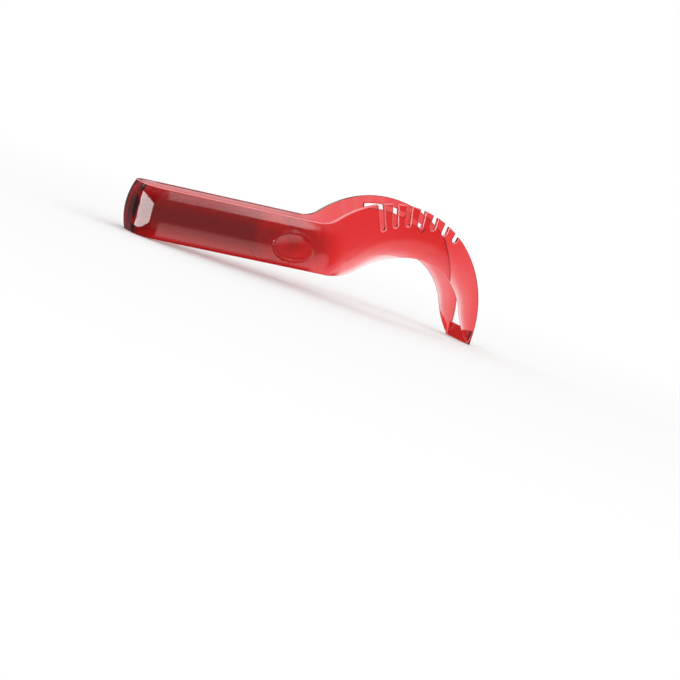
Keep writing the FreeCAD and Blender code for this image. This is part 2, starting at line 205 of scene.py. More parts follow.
def round_corners(line: Points, radius: float, sharp: float = 25.0, share_of_side: float = 0.45,
                  samples: int = 7) -> Points:
    """Round the sharp corners of a polyline.

    Args:
        line: The polyline, whose round stretches are sampled finely.
        radius: Radius for its sharp corners.
        sharp: Turn in degrees from which a corner counts as sharp.
        share_of_side: Largest share of the sides next to a corner that its curve takes up.
        samples: Points of each curve.

    Returns:
        The polyline with a curve in place of each sharp corner.
    """
    result = [line[0]]
    for before, corner, after in zip(line, line[1:], line[2:]):
        way_in, way_out = corner - before, after - corner
        reach_in, reach_out = np.linalg.norm(way_in), np.linalg.norm(way_out)
        way_in, way_out = way_in / reach_in, way_out / reach_out
        turn = math.acos(float(np.clip(way_in @ way_out, -1, 1)))
        if math.degrees(turn) < sharp:
            result.append(corner)
            continue
        cut = min(radius * math.tan(turn / 2), share_of_side * min(reach_in, reach_out))
        first, last = corner - way_in * cut, corner + way_out * cut
        for share in np.linspace(0, 1, samples):
            result.append((1 - share) ** 2 * first + 2 * share * (1 - share) * corner
                          + share**2 * last)
    result.append(line[-1])
    return np.array(result)


def inward(line: Points, closed: bool) -> Points:
    """Return the unit normals to the left of a polyline's way."""
    if closed:
        along = np.roll(line, -1, axis=0) - np.roll(line, 1, axis=0)
    else:
        along = np.gradient(line, axis=0)
    return unit(columns(-along[:, 1], along[:, 0]))


# Sizes


@dataclass(frozen=True)
class Strip:
    """Driving dimensions of the moulded strip, in metres and degrees."""

    arm_spacing: float = 34.0 * MM
    wall: float = 3.0 * MM
    handle_height: float = 33.0 * MM
    handle_bulge: float = 3.0 * MM
    rim_round: float = 0.8 * MM
    bow_corner: float = 9.0 * MM
    bow_reach: float = 20.0 * MM
    foot_reach: float = 7.0 * MM
    valley_radius: float = 18.0 * MM
    hump_centre: float = 186.0 * MM
    hump_drop: float = 16.0 * MM
    hump_radius: float = 72.5 * MM
    tip_drop: float = 26.4 * MM
    tip_land: float = 0.8 * MM

    @property
    def inner_face(self) -> float:
        """How far each wall's inner face is from the middle."""
        return self.arm_spacing / 2 - self.wall

    @property
    def outer_face(self) -> float:
        """How far each arm's outer face is from the middle."""
        return self.arm_spacing / 2

    @property
    def hump(self) -> Points:
        """Centre of the arms' hump."""
        return np.array([self.hump_centre, -self.hump_drop])

    @property
    def valley(self) -> Points:
        """Centre of the valley in front of the handle, straight above the shoulder."""
        height = self.handle_height + self.valley_radius + self.hump_drop
        reach = math.sqrt((self.hump_radius + self.valley_radius) ** 2 - height**2)
        return np.array([self.hump_centre - reach, self.handle_height + self.valley_radius])

    @property
    def tip(self) -> Points:
        """Foremost point of an arm, on the floor."""
        rise = self.tip_drop - self.hump_drop
        reach = math.sqrt(self.hump_radius**2 - rise**2)
        return np.array([self.hump_centre + reach, -self.tip_drop])

    @property
    def rest_pitch(self) -> float:
        """Angle by which the handle's nose is up when the slicer stands, in radians."""
        return math.atan2(self.tip_drop, self.tip[0] - self.foot_reach)

    def on_floor(self, along: float) -> Points:
        """Return the point of the floor under a place along the handle."""
        return np.array([along, -(along - self.foot_reach) * math.tan(self.rest_pitch)])

    def on_hump(self, angle: float, depth: float = 0.0) -> Points:
        """Return the point a depth in from the back edge at an angle of the hump."""
        return polar(self.hump, self.hump_radius - depth, angle)

    def standing(self) -> Matrix:
        """Return the matrix that stands the handle's frame on the floor."""
        middle = self.handle_height / 2
        bulge_radius = (middle**2 + self.handle_bulge**2) / (2 * self.handle_bulge)
        turn = Matrix.Rotation(-self.rest_pitch, 4, "Y")
        rear = (turn @ Vector((bulge_radius, 0, middle))).x - bulge_radius
        front = (turn @ Vector((self.hump_centre, 0, -self.hump_drop))).x + self.hump_radius
        floor = (turn @ Vector((self.foot_reach, 0, 0))).z
        return Matrix.Translation((-(rear + front) / 2, 0, -floor)) @ turn


STRIP = Strip()
STANDING = STRIP.standing()
GRIP_FADE = (150.0 * MM, 111.0 * MM)


def grip_share(along: Points) -> Points:
    """Return how far the plastic has the handle's deep tint, at places along it."""
    return smooth(*GRIP_FADE, along)


# Mesh building


@dataclass
class Skin:
    """A growing mesh, with a normal and two tints of the plastic at each point."""

    points: list[Points] = field(default_factory=list)
    normals: list[Points] = field(default_factory=list)
    depths_and_painted_light: list[Points] = field(default_factory=list)
    faces: list[list[int]] = field(default_factory=list)
    kinds: list[Kind] = field(default_factory=list)
    count: int = 0

    def add(self, points: Points, normals: Points, depths_and_painted_light: Points) -> Points:
        """Add points of the skin.

        Args:
            points: Places in the handle's frame, as rows of X, Y and Z.
            normals: Directions out of the plastic there.
            depths_and_painted_light: Thickness of plastic that light crosses there, deepened or
                thinned in places as painted shade and painted highlight.

        Returns:
            The numbers of the new points.
        """
        self.points.append(points)
        self.normals.append(unit(normals))
        self.depths_and_painted_light.append(np.broadcast_to(depths_and_painted_light, len(points)))
        self.count += len(points)
        return np.arange(self.count - len(points), self.count)

    def face(self, corners: list[int], kind: Kind = Kind.BODY) -> None:
        """Add one face between points that are there already."""
        self.faces.append(list(corners))
        self.kinds.append(kind)

    def lace(self, low: Points, high: Points, closed: bool = False,
             painted_highlight: Points | None = None) -> None:
        """Join two rows of points by a strip of faces.

        Args:
            low: Numbers of one row's points.
            high: Numbers of the other row's points.
            closed: Whether the rows end where they start.
            painted_highlight: Which faces carry the painted highlight, if any do.
        """
        following = np.roll(np.arange(len(low)), -1)
        last = len(low) if closed else len(low) - 1
        for this, then in zip(range(last), following):
            rim = painted_highlight is not None and painted_highlight[this]
            self.face([low[this], low[then], high[then], high[this]],
                      Kind.RIM if rim else Kind.BODY)

    def finish(self, name: str) -> Piece:
        """Make the piece and stand it on the floor.

        Args:
            name: Name of the piece.

        Returns:
            The new object, linked to the scene.
        """
        spots, normals = np.concatenate(self.points), np.concatenate(self.normals)
        faces, kinds = [], []
        for face, kind in zip(self.faces, self.kinds):
            corners = spots[face]
            across = sum(np.cross(corners[n] - corners[0], corners[n + 1] - corners[0])
                         for n in range(1, len(face) - 1))
            if np.linalg.norm(across) < NO_AREA:
                continue
            faces.append(face[::-1] if across @ normals[face].sum(0) < 0 else face)
            kinds.append(kind.value)
        mesh = bpy.data.meshes.new(name)
        mesh.from_pydata(spots.tolist(), [], [[int(n) for n in face] for face in faces])
        mesh.polygons.foreach_set("material_index", kinds)
        for label, values in (("depth_with_painted_light", np.concatenate(self.depths_and_painted_light)),
                              ("grip_share", grip_share(spots[:, 0]))):
            layer = mesh.attributes.new(label, "FLOAT", "POINT")
            layer.data.foreach_set("value", values.astype(np.float32))
        mesh.transform(STANDING)
        mesh.shade_smooth()
        turn = np.array(STANDING.to_3x3())
        mesh.normals_split_custom_set_from_vertices((normals @ turn.T).tolist())
        return linked(name, mesh)


def linked(name: str, data: bpy.types.ID) -> Piece:
    """Put a new object with this data into the scene and return it."""
    item = bpy.data.objects.new(name, data)
    bpy.context.scene.collection.objects.link(item)
    return item


@dataclass
class Run:
    """One stretch of the line around a plate's faces.

    Args:
        flat: Its points in side view.
        rows: Their numbers on the outer face, by 1, and the inner one, by -1, if built.
    """

    flat: Points
    rows: dict[int, Points] | None = None

    def numbers(self, face: int) -> Points:
        """Return the points' numbers on one face, or -1 where they aren't built yet."""
        return np.full(len(self.flat), -1) if self.rows is None else self.rows[face]


@dataclass
class Plate:
    """A wall of the slicer, drawn in side view and given its two faces as heights.

    Args:
        outer: Distance of the outer face from the middle, over the side view.
        inner: Distance of the inner face from the middle.
        side: Side of the slicer that the wall is on.
        depth: Plastic that light crosses on the faces, over the side view, painted deeper or
            shallower in places as shade and highlight.
        edge_length: How many times the wall's thickness light crosses from rim to rim.
        highlight_edge_length: The same where the rim carries the painted highlight, kept short so
            that the rim is painted lighter.
        inner_round: Largest rounding of the rims' edges at the inner face.
        ring_steps: Steps round each of a rim's two corners.
        highlight_steps: How many steps of a rim's outer corner carry the painted highlight.
        skin: The mesh that the plate adds to.
    """

    outer: Height
    inner: Height
    side: Side
    depth: Height
    edge_length: float = 2.5
    highlight_edge_length: float = 0.6
    inner_round: float = 0.2 * MM
    ring_steps: int = 4
    highlight_steps: int = 4
    slope_step: float = 0.05 * MM
    skin: Skin = field(default_factory=Skin)

    def slope(self, face: Height, flat: Points) -> Points:
        """Return the directions out of a face, for a wall on the positive side."""
        step = self.slope_step
        tilt = [(face(flat + way) - face(flat - way)) / (2 * step)
                for way in (np.array([step, 0.0]), np.array([0.0, step]))]
        return columns(-tilt[0], 1.0, -tilt[1])

    def place(self, flat: Points, across: Points, normals: Points, depths_and_painted_light: Points) -> Points:
        """Add points given in side view, on the wall's own side."""
        spots = columns(flat[:, 0], across, flat[:, 1])
        turn = np.array([1.0, self.side.value, 1.0])
        return self.skin.add(spots * turn, normals * turn, depths_and_painted_light)

    def rim(self, line: Points, rounding: Points, closed: bool,
            painted_highlight: Points | None = None, painted_highlight_top: Points | None = None) -> Run:
        """Build the rounded rim along one outline.

        Args:
            line: The outline, with plastic on its left.
            rounding: Radius of the rim's two corners at each point.
            closed: Whether the outline ends where it starts.
            painted_highlight: At which points the outer corner carries the painted highlight, if
                at any.
            painted_highlight_top: At which points the rim between its corners carries it too, if
                at any.

        Returns:
            The line where the rim meets the faces.
        """
        across = inward(line, closed)
        within = line + across * rounding[:, None]
        level = {1: self.outer(within), -1: self.inner(within)}
        out = columns(-across[:, 0], 0.0, -across[:, 1])
        walls = self.edge_length
        # Where the painted highlight is, the rim's tint is kept light as part of it.
        if painted_highlight is not None:
            walls = np.where(painted_highlight, self.highlight_edge_length, self.edge_length)
        edge_depth = walls * (level[1] - level[-1])
        last, starts = {}, {}
        for face in (1, -1):
            radius = rounding if face == 1 else np.minimum(rounding, self.inner_round)
            up = unit(self.slope(self.outer if face == 1 else self.inner, within) * face)
            row = None
            for step, turn in enumerate(np.linspace(0, math.pi / 2, self.ring_steps + 1)):
                flat = line + across * (radius * (1 - math.cos(turn)))[:, None]
                reach = level[face] - face * radius * (1 - math.sin(turn))
                normals = math.cos(turn) * out + math.sin(turn) * up
                share = math.sin(turn) ** 2
                depths_and_painted_light = self.depth(within) * share + edge_depth * (1 - share)
                following = self.place(flat, reach, normals, depths_and_painted_light)
                if row is None:
                    starts[face] = following
                else:
                    # The outer corner's first steps carry the painted highlight.
                    lit = face == 1 and step <= self.highlight_steps
                    self.skin.lace(row, following, closed, painted_highlight if lit else None)
                row = following
            if face == -1:
                following = self.place(within, level[face], up, self.depth(within))
                self.skin.lace(row, following, closed)
                row = following
            last[face] = row
        self.skin.lace(starts[1], starts[-1], closed, painted_highlight_top)
        return Run(within, last)

    def fill(self, loops: list[list[Run]], extra: Points) -> None:
        """Fill both faces between the rims.

        Args:
            loops: Closed loops in side view, each as runs end to end. The first is the outline.
            extra: Points within the faces.
        """
        runs = [run for loop in loops for run in loop]
        spots, edges, start = np.concatenate([run.flat for run in runs] + [extra]), [], 0
        for loop in loops:
            count = sum(len(run.flat) for run in loop)
            ring = list(range(start, start + count))
            edges += list(zip(ring, ring[1:] + ring[:1]))
            start += count
        out = geometry.delaunay_2d_cdt([Vector(p / MM) for p in spots], edges, [], 0,
                                       SAME_CORNER)
        found, triangles, origins = out[0], out[2], out[3]
        found = np.array([tuple(p) for p in found]) * MM
        middles = found[np.array(triangles)].mean(1)
        outlines = [np.concatenate([run.flat for run in loop]) for loop in loops]
        keep = inside(middles, outlines[0])
        for outline in outlines[1:]:
            keep &= ~inside(middles, outline)
        for face, height in ((1, self.outer), (-1, self.inner)):
            known = np.concatenate([run.numbers(face) for run in runs]
                                   + [np.full(len(extra), -1)])
            numbers = np.array([next((known[o] for o in origin if known[o] >= 0), -1)
                                for origin in origins])
            missing = np.where(numbers < 0)[0]
            flat = found[missing]
            numbers[missing] = self.place(flat, height(flat), self.slope(height, flat) * face,
                                          self.depth(flat))
            for triangle, wanted in zip(triangles, keep):
                if wanted:
                    self.skin.face([numbers[corner] for corner in triangle])


def scatter(loop: Points, holes: list[Points], step: float, margin: float) -> Points:
    """Spread points over a face.

    Args:
        loop: Outline of the face.
        holes: Outlines of its openings.
        step: Distance between points.
        margin: How far they stay from every outline.

    Returns:
        The points, in a pattern of triangles.
    """
    low, high = loop.min(0), loop.max(0)
    rows = []
    for number, level in enumerate(np.arange(low[1], high[1], step * ROW_RISE)):
        rows.append(columns(np.arange(low[0] + (number % 2) * step / 2, high[0], step), level))
    spots = np.concatenate(rows)
    keep = inside(spots, loop)
    for hole in holes:
        keep &= ~inside(spots, hole)
    spots = spots[keep]
    for line in [loop] + holes:
        spots = spots[distance(spots, np.r_[line, line[:1]]) > margin]
    return spots


# Sub-assemblies


@dataclass
class ThumbRest:
    """Oval rest on a handle wall: a raised rim round a dish for the thumb or a finger."""

    centre: float = 109.0 * MM
    height: float = 14.1 * MM
    length: float = 30.2 * MM
    width: float = 20.1 * MM
    proud: float = 0.4 * MM
    rim: float = 1.3 * MM
    dish: float = 1.6 * MM
    soft: float = 0.4 * MM
    dish_power: float = 0.8
    clear_dish: float = 0.7
    ring_highlight: float = 0.55
    ring_highlight_reach: Pair = (1.0 * MM, 0.2 * MM)
    ring_step: float = 0.9 * MM
    ring_offsets: tuple[float, ...] = (
        0.5, 0.3, 0.12, -0.1, -0.35, -0.7, -1.1, -1.35, -1.6, -2.0, -2.6, -3.4, -4.4)

    def middle(self) -> Points:
        """Return the oval's middle in side view."""
        return np.array([self.centre, self.height])

    def half(self, grow: float = 0.0) -> Points:
        """Return half the oval's length and width, grown by an offset."""
        return np.array([self.length / 2, self.width / 2]) + grow

    def reach(self, flat: Points) -> Points:
        """Return how far places are outside the oval, or inside it where negative."""
        half = self.half()
        place = (flat - self.middle()) / half
        share = np.maximum(np.linalg.norm(place, axis=1), 1e-6)
        tilt = np.linalg.norm(place / half, axis=1) / share
        return (share - 1) / tilt

    def relief(self, flat: Points) -> Points:
        """Return how far the rest stands out of the wall's plain bulge."""
        reach = self.reach(flat)
        raised = self.proud * smooth(self.soft, -self.soft, reach)
        place = (flat - self.middle()) / self.half(-self.rim)
        share = np.clip(np.linalg.norm(place, axis=1), 0, 1)
        bowl = (1 - share**2) ** self.dish_power
        return raised - (self.dish + self.proud) * bowl

    def tint(self, flat: Points) -> Points:
        """Return the share of the wall's tint that is left in the thinner dish, and on its rim,
        whose lighter ring is a painted highlight.
        """
        reach = self.reach(flat)
        dish = self.clear_dish * smooth(-self.rim, -2.5 * self.rim, reach)
        # Painted highlight: a lighter ring round the rest's rim.
        rim = self.ring_highlight * smooth(*self.ring_highlight_reach, np.abs(reach))
        return 1 - np.maximum(dish, rim)

    def rings(self) -> Points:
        """Return points that follow the oval's rim and dish."""
        rows = []
        for offset in self.ring_offsets:
            half = self.half(offset * MM)
            count = int(2 * math.pi * half.mean() / self.ring_step)
            turns = np.linspace(0, 2 * math.pi, count, endpoint=False)
            rows.append(self.middle() + half * columns(np.cos(turns), np.sin(turns)))
        return np.concatenate(rows)


@dataclass
class Handle:
    """The squeeze handle: a bow at the rear and a bulged wall on each side.

    Args:
        strip: The strip's driving dimensions.
        rest: The thumb rest on each wall.
        rows: Points up a wall's height.
        corner_steps: Points round each corner of the wall's section.
        spring_reach: Length over which a wall swings out of the bow.
        bend_depth: How many times the plain tint the bow's back has.
        bend_reach: Where along the handle this tint begins and is full.
        bend_side: Where across the handle it begins and is full.
        corner_depth: Extra plastic that light crosses low at the bow's sides.
        corner_reach: Where along the handle this plastic begins and is full.
        corner_top: At which height it begins and is full.
        slope_step: Step over which the bulge's slope is taken.
        side_step: Length between the bow's sections along its sides.
        bend_step: The same round its bends.
        back_step: The same along its back.
        line_step: Length between points along a wall's rims.
        face_step: Length between points over its faces.
        face_margin: How far they stay from its rims.
        rest_margin: How far they stay outside and inside the thumb rest's edge.
        wall_edge_length: How many walls' thickness light crosses at a wall's lower rim.
        depth_and_shade_levels: Heights, and the plastic that light crosses there, in millimetres.
            Beside the walls' own tint this is painted shade, deepest at mid-height and light
            towards the top.
    """

    strip: Strip = STRIP
    rest: ThumbRest = field(default_factory=ThumbRest)
    rows: int = 22
    corner_steps: int = 5
    spring_reach: float = 16.0 * MM
    bend_depth: float = 2.2
    bend_reach: Pair = (7.5 * MM, 6.2 * MM)
    bend_side: Pair = (-8.5 * MM, -5.5 * MM)
    corner_depth: float = 8.0 * MM
    corner_reach: Pair = (16.0 * MM, 9.0 * MM)
    corner_top: Pair = (12.0 * MM, 5.0 * MM)
    slope_step: float = 0.01 * MM
    side_step: float = 1.5 * MM
    bend_step: float = 1.0 * MM
    back_step: float = 1.2 * MM
    line_step: float = 2.0 * MM
    face_step: float = 1.5 * MM
    face_margin: float = 0.8 * MM
    rest_margin: Pair = (0.9 * MM, -4.9 * MM)
    wall_edge_length: float = 0.55
    depth_and_shade_levels: tuple[Pair, ...] = (
        (0.0, 3.2), (4.0, 4.2), (7.5, 8.5), (14.0, 14.5), (20.0, 13.3), (25.0, 7.0), (29.0, 1.5),
        (33.0, 0.8))

    def bulge(self, height: Points) -> Points:
        """Return how far the wall's outer face stands out at a height, above its rims."""
        half = self.strip.handle_height / 2 - self.strip.rim_round
        radius = (half**2 + self.strip.handle_bulge**2) / (2 * self.strip.handle_bulge)
        limit = 1.5 * half
        place = np.clip(height - self.strip.handle_height / 2, -limit, limit)
        return np.sqrt(radius**2 - place**2) - (radius - self.strip.handle_bulge)

    def depth(self, height: Points) -> Points:
        """Return the plastic that light crosses at a height of the wall, with the painted shade of
        its profile.
        """
        levels = np.array(self.depth_and_shade_levels) * MM
        return np.interp(height, levels[:, 0], levels[:, 1])

    def depth_along(self, flat: Points) -> Points:
        """Return the same over the side view, thinning as the handle's tint fades."""
        share = grip_share(flat[:, 0])
        return self.depth(flat[:, 1]) * share + self.strip.wall * (1 - share)

    def end_levels(self) -> Points:
        """Return the heights of the points where a wall is open to its neighbour."""
        low = self.strip.rim_round
        return np.linspace(low, self.strip.handle_height - low, self.rows)[1:-1]

    def section(self) -> tuple[Points, Points, Points]:
        """Return the wall's closed section.

        Returns:
            Its points, as rows of distance from the inner face and height, the directions
            out of the plastic there, and the plastic that light crosses.
        """
        strip, rim, step = self.strip, self.strip.rim_round, self.slope_step
        levels = np.r_[rim, self.end_levels(), strip.handle_height - rim]
        slope = (self.bulge(levels + step) - self.bulge(levels - step)) / (2 * step)
        outer, inner = columns(strip.wall + self.bulge(levels), levels), columns(0.0, levels)
        out, within = unit(columns(1.0, -slope)), np.tile([-1.0, 0.0], (len(levels), 1))
        runs = [self.corner(outer[-1], out[-1], 1, False),
                self.corner(inner[-1], within[-1], 1, True),
                (inner[-2:0:-1], within[1:-1]),
                self.corner(inner[0], within[0], -1, False),
                self.corner(outer[0], out[0], -1, True),
                (outer[1:-1], out[1:-1])]
        spots, ways = (np.concatenate(part) for part in zip(*runs))
        return spots, ways, self.depth(spots[:, 1])

    def corner(self, place: Points, face: Points, end: int, back: bool) -> tuple[Points, Points]:
        """Round one corner of the section, between a face and a rim.

        Args:
            place: The last point of the face.
            face: The direction out of the plastic there.
            end: 1 for the top rim and -1 for the bottom one.
            back: Whether the corner leads from the rim to the face.

        Returns:
            Its points, and the directions out of the plastic there.
        """
        turns = np.linspace(0, math.pi / 2, self.corner_steps)
        ways = np.cos(turns)[:, None] * face + np.sin(turns)[:, None] * np.array([0.0, end])
        offset = columns((np.cos(turns) - 1) * np.sign(face[0]), np.sin(turns) * end)
        spots = place + self.strip.rim_round * offset
        return (spots[::-1], ways[::-1]) if back else (spots, ways)

    def bow_path(self) -> tuple[Points, Points]:
        """Return the bow's inner line seen from above, and the directions out of the bend."""
        strip = self.strip
        back = strip.handle_bulge + strip.wall
        corner = np.array([back + strip.bow_corner, -strip.inner_face + strip.bow_corner])
        near = arc(corner, strip.bow_corner, -90, -180, self.bend_step)
        far = (near * np.array([1, -1]))[::-1]
        start = np.array([strip.bow_reach, -strip.inner_face])
        line = join(straight(start, near[0], self.side_step), near,
                    straight(near[-1], far[0], self.back_step), far,
                    straight(far[-1], start * np.array([1, -1]), self.side_step))
        return line, inward(line, False)

    def build_bow(self) -> Piece:
        """Build the bow that joins the two walls and springs them apart."""
        skin = Skin()
        line, out = self.bow_path()
        spots, ways, depth = self.section()
        before = None
        for place, way in zip(line, out):
            bend = 1 + ((self.bend_depth - 1) * smooth(*self.bend_reach, place[0])
                        * smooth(*self.bend_side, place[1]))
            corner = self.corner_depth * smooth(*self.corner_reach, place[0])
            flat = place + spots[:, :1] * way
            floor = np.array([self.strip.on_floor(x)[1] for x in flat[:, 0]])
            level = np.maximum(spots[:, 1], floor)
            normals = columns(ways[:, 0] * way[0], ways[:, 0] * way[1], ways[:, 1])
            row = skin.add(columns(flat[:, 0], flat[:, 1], level), normals,
                           depth * bend + corner * smooth(*self.corner_top, spots[:, 1]))
            if before is not None:
                # The top outer corner of the bow's section takes the painted highlight.
                skin.lace(before, row, True, np.arange(len(row)) < self.corner_steps - 1)
            before = row
        piece = skin.finish("bow_moulding")
        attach(piece, "rear_bow")
        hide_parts("rear_bow")
        return piece

    def build_wall(self, side: Side) -> Piece:
        """Build one handle wall with its thumb rest.

        Args:
            side: Which wall.

        Returns:
            The wall.
        """
        strip, rest = self.strip, self.rest
        start, end = strip.bow_reach, float(strip.valley[0])
        plate = Plate(
            outer=lambda flat: strip.outer_face + self.bulge(flat[:, 1]) + rest.relief(flat),
            inner=lambda flat: np.full(len(flat), strip.inner_face),
            side=side, depth=lambda flat: self.depth_along(flat) * rest.tint(flat),
            edge_length=self.wall_edge_length)
        along = straight((start, 0), (end, 0), self.line_step)
        rounding = np.full(len(along), strip.rim_round)
        bottom = plate.rim(along, rounding, False)
        # The whole top rim of the wall carries the painted highlight.
        top = plate.rim(along[::-1] + np.array([0, strip.handle_height]), rounding, False,
                        np.ones(len(along), bool))
        levels = self.end_levels()
        loop = [bottom, Run(columns(end, levels)), top, Run(columns(start, levels[::-1]))]
        outline = np.concatenate([run.flat for run in loop])
        inner = scatter(outline, [], self.face_step, self.face_margin)
        reach = rest.reach(inner)
        inner = inner[(reach > self.rest_margin[0]) | (reach < self.rest_margin[1])]
        plate.fill([loop], np.concatenate([inner, rest.rings()]))
        name = side.name.lower()
        piece = plate.skin.finish(name + "_handle_moulding")
        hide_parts(name + "_handle_panel", name + "_thumb_rest")
        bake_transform(piece)
        return piece


@dataclass
class Arms:
    """The two arched arms: a comb in the near one, two long windows in the far one."""

    strip: Strip = STRIP
    handle: Handle = field(default_factory=Handle)
    sag_start: float = 139.8 * MM
    sag_radius: float = 32.0 * MM
    rise_angle: float = 37.8
    arch_height: float = 22.8 * MM
    arch_back_radius: float = 65.4 * MM
    arch_front_centre: float = 202.8 * MM
    arch_front_radius: float = 43.7 * MM
    foot_drop: float = 6.0 * MM
    foot_swell: float = 1.2 * MM
    edge_wall: float = 0.5 * MM
    bevel_width: float = 18.5 * MM
    bevel_at_sag: float = 12.0 * MM
    bevel_at_rise: float = 12.5 * MM
    bevel_swell: float = -1.0 * MM
    leg_spine: float = 4.0 * MM
    spine_swell: float = -0.4 * MM
    comb_slots: int = 7
    comb_first: float = 107.3
    comb_pitch: float = 8.5
    comb_width: float = 3.8 * MM
    comb_depth: float = 18.2 * MM
    comb_depth_step: float = 2.1 * MM
    comb_lean: float = 21.4
    comb_lean_step: float = 6.2
    window_centre: float = 184.0 * MM
    window_radius: float = 67.0 * MM
    window_width: float = 3.5 * MM
    window_round: float = 1.2 * MM
    windows: tuple[Pair, ...] = ((103.5, 75.0), (70.4, 59.0))
    fade: float = 18.0 * MM
    flex_reach: float = 20.0 * MM
    step: float = 0.8 * MM
    slot_step: float = 0.5 * MM
    face_step: float = 1.3 * MM
    face_margin: float = 0.6 * MM
    tooth_round: float = 1.0 * MM
    edge_round: float = 0.18 * MM
    least_round: float = 0.1 * MM
    round_share: float = 0.3
    knife_reach: float = 0.02 * MM
    bevel_fade: Pair = (135.0 * MM, 147.0 * MM)
    bevel_power: float = 1.6
    # Painted highlight: the near arm's upper rim carries it back from this place, and its level
    # tops too.
    highlight_reach: float = 231.0 * MM
    highlight_level: float = 0.6
    highlight_steps: int = 3
    bevel_tint: tuple[Pair, ...] = (
        (0.0, 0.2), (0.07, 0.4), (0.2, 1.05), (0.32, 1.8), (0.45, 2.2), (0.65, 2.45),
        (0.85, 2.75), (1.0, 3.0))
    front_tint: float = 0.85 * MM
    front_reach: tuple[float, ...] = (174.0 * MM, 203.0 * MM, 222.0 * MM, 250.0 * MM)
    crest_tint: float = 1.1 * MM
    crest_reach: tuple[float, ...] = (178.0 * MM, 192.0 * MM, 215.0 * MM, 232.0 * MM)
    far_depth: float = 0.85

    def sides(self) -> dict[str, Points]:
        """Return the named points where the knife edge's stretches meet."""
        sag = np.array([self.sag_start, self.sag_radius])
        rise = math.radians(self.rise_angle)
        sag_end = polar(sag, self.sag_radius, self.rise_angle - 90)
        floor = self.arch_height - self.arch_back_radius
        climb = floor + self.arch_back_radius * math.cos(rise)
        climb_end = np.array([sag_end[0] + (climb - sag_end[1]) / math.tan(rise), climb])
        back = np.array([climb_end[0] + self.arch_back_radius * math.sin(rise), floor])
        front = np.array([self.arch_front_centre, self.arch_height - self.arch_front_radius])
        turn = math.degrees(math.asin((-self.foot_drop - front[1]) / self.arch_front_radius))
        return {"sag": sag, "sag_end": sag_end, "climb_end": climb_end, "back": back,
                "front": front, "foot": polar(front, self.arch_front_radius, turn),
                "land": self.strip.on_floor(self.strip.tip[0] - self.strip.tip_land)}

    def knife_edge(self) -> Points:
        """Return the lower edge, from the shoulder to the tip."""
        at, step = self.sides(), self.step
        front = at["front"]
        return join(
            straight((self.strip.valley[0], 0), (self.sag_start, 0), step),
            arc(at["sag"], self.sag_radius, -90, self.rise_angle - 90, step),
            straight(at["sag_end"], at["climb_end"], step),
            arc(at["back"], self.arch_back_radius, 90 + self.rise_angle, 90, step),
            arc(front, self.arch_front_radius, 90, angle_of(at["foot"], front), step),
            swell(at["foot"], at["land"], self.foot_swell, step),
            straight(at["land"], self.strip.tip, step))

    def bevel_line(self) -> Points:
        """Return the line on the outer face where the bevel to the knife edge begins."""
        at, strip, step = self.sides(), self.strip, self.step
        rise = math.radians(self.rise_angle)
        normal = np.array([-math.sin(rise), math.cos(rise)])
        low = at["sag_end"] + normal * self.bevel_at_sag
        high = at["climb_end"] + normal * self.bevel_at_rise
        crest = self.arch_height + self.bevel_width
        back, front = np.array([at["back"][0], crest]), np.array([at["front"][0], crest])
        turn = math.asin((strip.hump_drop - self.foot_drop) / (strip.hump_radius - self.leg_spine))
        spine = strip.on_hump(math.degrees(turn), self.leg_spine)
        end = strip.on_floor(strip.tip[0] - strip.tip_land / 2)
        start = np.array([self.sag_start, 0.0])
        return join(
            straight((strip.valley[0], 0), start, step),
            swell(start, low, self.bevel_swell, step), straight(low, high, step),
            crest_arc(back, high, step)[::-1], straight(back, front, step),
            crest_arc(front, spine, step), swell(spine, end, self.spine_swell, step),
            straight(end, strip.tip, step))

    def back_edge(self, slots: bool) -> Points:
        """Return the upper edge, from the tip over the hump to the shoulder.

        Args:
            slots: Whether the comb's slots are cut into it.

        Returns:
            The edge.
        """
        strip, step = self.strip, self.step
        meet = angle_of(strip.valley, strip.hump)
        runs, angle = [], angle_of(strip.tip, strip.hump)
        for number in reversed(range(self.comb_slots if slots else 0)):
            slot = self.slot(number)
            mouth = angle_of(slot[0], strip.hump)
            runs += [arc(strip.hump, strip.hump_radius, angle, mouth, step), slot]
            angle = angle_of(slot[-1], strip.hump)
        runs.append(arc(strip.hump, strip.hump_radius, angle, meet, step))
        runs.append(arc(strip.valley, strip.valley_radius, meet - 180, -90, step))
        return join(*runs)

    def slot(self, number: int) -> Points:
        """Return one comb slot's edge: down its front wall, round its floor and up again."""
        strip = self.strip
        lean = self.comb_lean - self.comb_lean_step * number
        depth = self.comb_depth - self.comb_depth_step * number
        half, turn = self.comb_width / 2, math.radians(lean)
        down = np.array([math.sin(turn), -math.cos(turn)])
        across = np.array([math.cos(turn), math.sin(turn)])
        mouth = strip.on_hump(self.comb_first - self.comb_pitch * number)
        shelf = mouth + down * (depth - half)
        ends = []
        for side in (1, -1):
            wall = shelf + across * half * side - strip.hump
            climb = wall @ down + math.sqrt((wall @ down) ** 2 - wall @ wall
                                            + strip.hump_radius**2)
            ends.append(wall + strip.hump - down * climb)
        floor = arc(shelf, half, lean, lean - 180, self.slot_step)
        return join(straight(ends[0], floor[0], self.step), floor,
                    straight(floor[-1], ends[1], self.step))

    def window(self, first: float, last: float) -> Points:
        """Return the outline of one long window, with the plastic on its left."""
        centre = np.array([self.window_centre, -self.strip.hump_drop])
        inner = self.window_radius - self.window_width
        over = arc(centre, self.window_radius, first, last, self.step)
        under = arc(centre, inner, last, first, self.step)
        loop = np.concatenate([over, under, over[:2]])
        return round_corners(loop, self.window_round)[1:-1]

